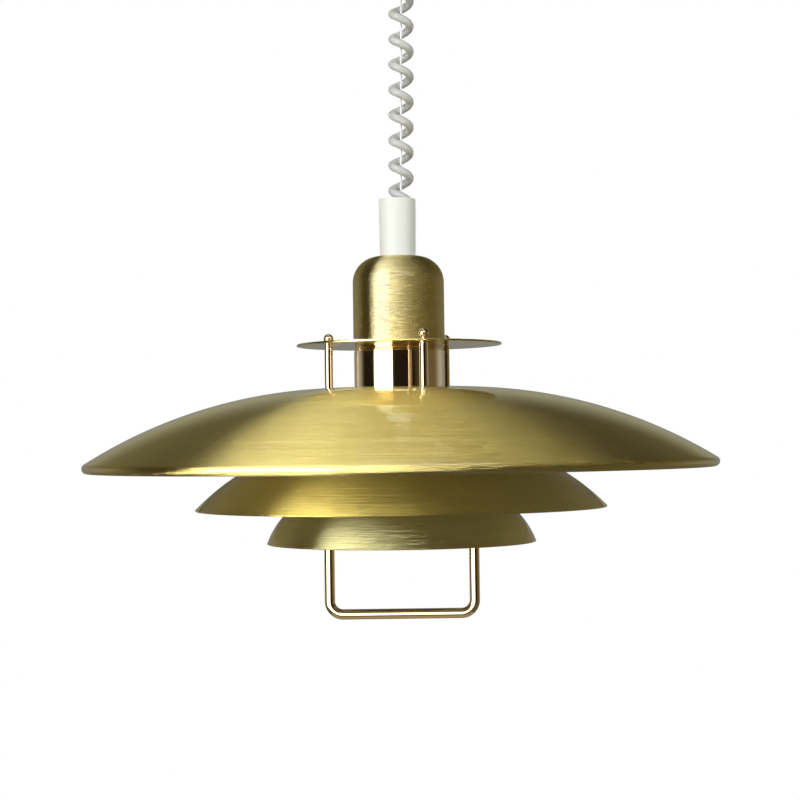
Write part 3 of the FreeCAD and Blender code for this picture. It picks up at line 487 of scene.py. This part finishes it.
# ------------------------------------------------------- rods, balls and handle
R3 = 44.9
rods, balls = [], []
for k in range(3):
    a = math.radians(49 + 120 * k)
    c = (R3 * math.cos(a), R3 * math.sin(a))
    nm = ("back", "left", "front")[k]
    rod_prof = [(0, 32.2), (2.45, 32.2), (2.6, 32.35), (2.6, 58.25), (2.45, 58.4), (0, 58.4)]
    rod = lathe("tie_rod_" + nm, rod_prof, [M_ROD], segments=40, sharp=40, centre=c)
    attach(rod, "lamp")
    stud_prof = [(0, -40.0), (1.75, -40.0), (2.0, -39.7), (2.0, 32.2), (0, 32.2)]
    stud = lathe("tie_stud_" + nm, stud_prof, [M_ZINC], segments=24, sharp=40, centre=c)
    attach(stud, "lamp")
    ball_prof = [(0, 59.6), (2.3, 59.6), (2.3, 60.1), (1.8, 60.5), (1.7, 60.9)]
    a0 = -math.degrees(math.acos(1.7 / 3.05))
    ball_prof += arc(0, 63.7, 3.05, a0, 90, 22)
    ball_prof[-1] = (0, 66.75)
    ball = lathe("ball_nut_" + nm, ball_prof, [M_ROD], segments=40, sharp=35, centre=c)
    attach(ball, "lamp")
    rods.append(rod)
    balls.append(ball)
    if k == 0:
        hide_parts("tie_rods")
        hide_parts("ball_nuts")

HX, HR, LOW, Q, HTOP = 44.8, 3.2, -107.3, 8.2, -33.82
line = [(-HX, 0, HTOP), (-HX, 0, -60.0)]
line += [(-HX + Q - Q * math.cos(math.radians(t)), 0, LOW + Q - Q * math.sin(math.radians(t))) for t in range(0, 91, 6)]
line += [(0.0, 0, LOW)]
line += [(HX - Q + Q * math.sin(math.radians(t)), 0, LOW + Q - Q * math.cos(math.radians(t))) for t in range(0, 91, 6)]
line += [(HX, 0, -60.0), (HX, 0, HTOP)]
handle = tube_mesh("pull_handle_polished", [Vector(p) * MM for p in line], HR * MM, [M_POLISH], sides=40, matrix=LAMP)
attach(handle, "lamp"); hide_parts("pull_handle")
for s, nm in ((-1, "left"), (1, "right")):
    stud = lathe("handle_stud_" + nm, [(0, HTOP), (2.0, HTOP), (2.0, HTOP + 7.2), (1.7, HTOP + 7.5), (0, HTOP + 7.5)], [M_ZINC], segments=24, centre=(HX * s, 0))
    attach(stud, "lamp")

# ---------------------------------------------------------------- ceiling unit
can = [(10.0, -95.0), (35.0, -95.0)] + arc(35, -70, 25, -90, 0, 20)[1:] + [(60, -1.0), (59.5, -0.5), (58.0, -0.5)] + arc(35, -70, 23, 0, -90, 20) + [(10, -93)]
canopy = lathe("canopy_moulded", can, [M_WHITE], matrix=CEILING, segments=160, sharp=40)
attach(canopy, "ceiling"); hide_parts("canopy")

# ------------------------------------------------------------ cord and its wire
# The cord comes out of the canopy at the left of the wire, winds round it as a
# left-handed helix, and drops through the sleeve into the insert.
PITCH, RADIUS, PER = 15.76, 5.58, 16
Z_LEFT = -225.3                      # a leftmost point of the coil
first = Z_LEFT + 8 * PITCH           # the topmost one, at the outlet
route = [(-5.5, 0, -93.0), (-5.55, 0, -96.0)]
turns = 9
for i in range(turns * PER + 1):
    t = math.pi + 2 * math.pi * i / PER
    z = first - PITCH * i / PER
    route.append((RADIUS * math.cos(t), RADIUS * math.sin(t), z))
route += [(-5.6, 0, -246.0), (-5.6, 0, -253.0), (-5.6, 0, -260.6)]
cord_line = spline_line("cord_route", [Vector(p) * MM for p in route], 4)
cord = tube_mesh("curly_cord_coils", cord_line, 2.5 * MM, [M_CORD], sides=18)
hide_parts("curly_cord", "cord_tail")
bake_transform(cord)

wire_line = [(0, 0, (-91.5 - 162.0 * i / 40) * MM) for i in range(41)]
wire = tube_mesh("suspension_wire_strand", wire_line, 0.5 * MM, [M_WIRE], sides=12)
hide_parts("suspension_wire")
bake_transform(wire)

lead_line = spline_line("lead_route", [Vector(p) * MM for p in [(-5.5, 0, -93.0), (-5.5, 0, -76), (-20, 0, -58), (-36, 0, -42), (-38.5, 0, -18.4)]], 12)
lead = tube_mesh("inner_lead_sheath", lead_line, 2.5 * MM, [M_CORD], sides=18)
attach(lead, "ceiling"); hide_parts("inner_lead")

# ------------------------------------------------------------------ the studio
def emission(name, colour, strength):
    m = bpy.data.materials.new(name)
    m.use_nodes = True
    nt = m.node_tree
    nt.nodes.clear()
    out = nt.nodes.new("ShaderNodeOutputMaterial")
    em = nt.nodes.new("ShaderNodeEmission")
    em.inputs["Color"].default_value = (*colour, 1)
    em.inputs["Strength"].default_value = strength
    nt.links.new(em.outputs[0], out.inputs["Surface"])
    return m


AIM = Vector((0, 0, -0.38))


def panel(name, centre, across, up, width, height, radiance, colour=(1, 1, 1), shape="RECTANGLE"):
    """A soft box: a plain bright rectangle of the given radiance, facing away from across x up."""
    x = Vector(across).normalized()
    y = Vector(up)
    y = (y - x * y.dot(x)).normalized()
    z = x.cross(y)
    li = bpy.data.lights.new(name, "AREA")
    li.shape = shape
    li.size, li.size_y = width, height
    li.energy = radiance * math.pi * width * height * (math.pi / 4 if shape == "ELLIPSE" else 1)
    li.color = colour
    ob = bpy.data.objects.new(name, li)
    m = Matrix((x, y, z)).transposed().to_4x4()
    m.translation = centre
    ob.matrix_world = m
    ob.visible_camera = False
    bpy.context.scene.collection.objects.link(ob)
    return ob


def around(azimuth, elevation, distance):
    """A place seen from the lamp: azimuth 0 is towards the camera, positive to the right."""
    a, e = math.radians(azimuth), math.radians(elevation)
    return AIM + Vector((math.sin(a) * math.cos(e), -math.cos(a) * math.cos(e), math.sin(e))) * distance


def facing(name, azimuth, elevation, distance, width, height, radiance, colour=(1, 1, 1)):
    c = around(azimuth, elevation, distance)
    back = (c - AIM).normalized()
    across = Vector((0, 0, 1)).cross(back)
    return panel(name, c, across, back.cross(across), width, height, radiance, colour)


def upright(name, azimuth, distance, low, high, width, radiance, colour=(1, 1, 1)):
    """A standing soft box that reaches from low to high above the lamp's middle."""
    c = around(azimuth, 0, distance)
    back = (c - AIM).normalized()
    across = Vector((0, 0, 1)).cross(back)
    c.z += (low + high) / 2
    return panel(name, c, across, (0, 0, 1), width, high - low, radiance, colour)


# The key stands at the front left and a second box hangs overhead. Brushed, mirror-bright and white pieces each
# get these two at their own strength, as a photographer grades one set of lamps with flags and nets.
def only(lamp_obs, name, pieces, state="INCLUDE"):
    group = bpy.data.collections.new(name)
    for piece in pieces:
        group.objects.link(piece)
    for entry in group.collection_objects:
        entry.light_linking.link_state = state
    for lamp_ob in lamp_obs:
        lamp_ob.light_linking.receiver_collection = group


KEY_AZ, KEY_W, KEY_D = -42.0, 1.02, 1.3
WARM = (1.0, 0.97, 0.88)
only([upright("key_low", KEY_AZ, KEY_D, -0.12, 0.30, KEY_W, 31.0, (0.90, 0.92, 1.0)),
      upright("key_high", KEY_AZ, KEY_D, 0.30, 1.25, KEY_W, 1.1),
      *[panel("fill_%d" % i, AIM + Vector((0.17, -0.27, 1.2)), (1, 0, 0), (0, 1, 0), w, w + 0.07, 3.3, WARM, "ELLIPSE")
        for i, w in enumerate((0.60, 0.50, 0.40, 0.30))]],
     "brushed_shades", [main, disc])
only([upright("key_for_second", KEY_AZ - 7.0, KEY_D, -0.12, 0.30, KEY_W - 0.15, 26.0, (1.0, 0.96, 0.74))], "second_piece", [second])
only([upright("key_for_third", KEY_AZ - 8.0, KEY_D, -0.12, 0.30, KEY_W - 0.18, 21.0, (0.58, 0.66, 1.0))], "third_piece", [third])
only([upright("key_for_cup", KEY_AZ - 1.0, KEY_D, -0.12, 1.25, 0.94, 7.4, (0.68, 0.73, 1.0)),
      upright("fill_for_cup", 15, 1.5, 0.55, 1.60, 1.60, 1.5, WARM)], "brushed_cup", [cup])
only([upright("key_for_bright", KEY_AZ, KEY_D, -0.60, 1.25, 1.2, 2.8),
      upright("fill_for_bright", 15, 1.5, 0.45, 1.60, 1.60, 1.3, WARM)], "bright_pieces", rods + balls + [ring, neck])
only([upright("key_for_handle", -32, KEY_D, -0.70, 0.80, 2.0, 3.0),
      panel("under_handle", AIM + Vector((0, -0.1, -1.0)), (1, 0, 0), (0, -1, 0), 1.6, 1.4, 0.25, (1.0, 0.86, 0.66))], "handle_piece", [handle])
only([upright("key_for_white", KEY_AZ, KEY_D, -0.12, 1.25, 1.2, 4.1, (0.965, 0.99, 1.0)),
      upright("side_for_white", 48, 1.5, -0.12, 1.25, 1.2, 2.7, (0.95, 1.0, 0.96)),
      upright("back_for_white", 170, 1.5, -0.12, 1.25, 1.2, 1.8, (0.98, 1.0, 0.97))],
     "own_lit_pieces", [main, second, third, disc, cup, ring, neck, handle] + rods + balls, "EXCLUDE")
only([panel("under_enamel", AIM + Vector((0, 0, -1.4)), (1, 0, 0), (0, -1, 0), 2.6, 2.4, 0.15, (0.96, 1.0, 0.96))],
     "enamel_pieces", [bpy.data.objects[n + "_enamel"] for n in ("main_shade", "second_shade", "third_shade")])
only([upright("back_for_canopy_%d" % az, az, 1.6, -0.10, 1.30, 1.1, 1.4, (0.98, 1.0, 0.97)) for az in (120, 180, 240)],
     "canopy_piece", [canopy])
panel("top", AIM + Vector((-0.10, 0.0, 1.35)), (1, 0, 0), (0, 1, 0), 0.7, 0.76, 1.0)

world = bpy.data.worlds.new("studio")
bpy.context.scene.world = world
world.use_nodes = True
wt = world.node_tree
bg = wt.nodes["Background"]
tc = wt.nodes.new("ShaderNodeTexCoord")
sep = wt.nodes.new("ShaderNodeSeparateXYZ")
wt.links.new(tc.outputs["Generated"], sep.inputs[0])


def ease(socket, lo, hi):
    n = wt.nodes.new("ShaderNodeMapRange")
    n.interpolation_type = "SMOOTHSTEP"
    n.inputs["From Min"].default_value = lo
    n.inputs["From Max"].default_value = hi
    wt.links.new(socket, n.inputs["Value"])
    return n.outputs["Result"]


def blend_to(first, second, factor):
    n = wt.nodes.new("ShaderNodeMix")
    n.data_type = "RGBA"
    wt.links.new(factor, n.inputs["Factor"])
    for sock, val in ((n.inputs[6], first), (n.inputs[7], second)):
        if isinstance(val, tuple):
            sock.default_value = (*val, 1)
        else:
            wt.links.new(val, sock)
    return n.outputs[2]


up = ease(sep.outputs["Z"], 0.03, 0.30)
level = blend_to((0.016, 0.011, 0.007), (0.15, 0.115, 0.055), ease(sep.outputs["X"], 0.55, 0.98))
front = blend_to(level, (0.045, 0.036, 0.026), up)
high = blend_to((0.14, 0.135, 0.085), (0.07, 0.066, 0.045), ease(sep.outputs["X"], -0.6, 0.6))
high = blend_to(high, (0.46, 0.45, 0.30), ease(sep.outputs["Y"], 0.86, 0.99))
horizon = blend_to((0.44, 0.44, 0.39), (0.25, 0.25, 0.22), ease(sep.outputs["Y"], 0.60, 0.95))
back = blend_to(horizon, high, up)
both = blend_to(front, back, ease(sep.outputs["Y"], 0.15, 0.65))
flip = wt.nodes.new("ShaderNodeMath")
flip.operation = "MULTIPLY"
flip.inputs[1].default_value = -1.0
wt.links.new(sep.outputs["Z"], flip.inputs[0])
whole = blend_to(both, (0.12, 0.11, 0.085), ease(flip.outputs[0], 0.06, 0.35))
wt.links.new(whole, bg.inputs["Color"])
bg.inputs["Strength"].default_value = 1.0

# The floor of a room 2.5 m high, and a white surround that only the camera sees.
floor_mat = bpy.data.materials.new("pale_floor")
floor_mat.use_nodes = True
fb = floor_mat.node_tree.nodes["Principled BSDF"]
fb.inputs["Base Color"].default_value = (0.86, 0.86, 0.85, 1)
fb.inputs["Roughness"].default_value = 0.8
me = bpy.data.meshes.new("floor")
s, zf, ns = 9.0, -2.5, 180
me.from_pydata([(s * math.cos(2 * math.pi * i / ns), s * math.sin(2 * math.pi * i / ns), zf) for i in range(ns)], [], [tuple(range(ns))])
me.materials.append(floor_mat)
floor = bpy.data.objects.new("floor", me)
bpy.context.scene.collection.objects.link(floor)
floor.visible_diffuse = False
floor.visible_glossy = False
sun_data = bpy.data.lights.new("floor_light", "SUN")
sun_data.energy = 2.7
sun_data.angle = math.radians(70)
sun = bpy.data.objects.new("floor_light", sun_data)
bpy.context.scene.collection.objects.link(sun)
only([sun], "floor_piece", [floor])

bpy.ops.mesh.primitive_uv_sphere_add(segments=48, ring_count=24, radius=12.0, location=(0, 0, -0.4))
surround = bpy.context.object
surround.name = "surround"
surround.data.materials.append(emission("surround_white", (1, 1, 1), 1.0))
surround.visible_diffuse = False
surround.visible_glossy = False
surround.visible_transmission = False
surround.visible_shadow = False

# Camera: level with the middle of the stack, 1.146 m away, tipped up a little.
cam_data = bpy.data.cameras.new("camera")
cam_data.sensor_width = 36.0
cam_data.sensor_fit = "HORIZONTAL"
cam_data.lens = 1850 * 36.0 / 800
cam_data.clip_end = 50
cam = bpy.data.objects.new("camera", cam_data)
cam.location = (-0.62 * MM, -1.146, -0.380)
cam.rotation_euler = (math.radians(90 + 1.239), 0, 0)
bpy.context.scene.collection.objects.link(cam)
bpy.context.scene.camera = cam
bpy.context.scene.view_settings.view_transform = "Standard"
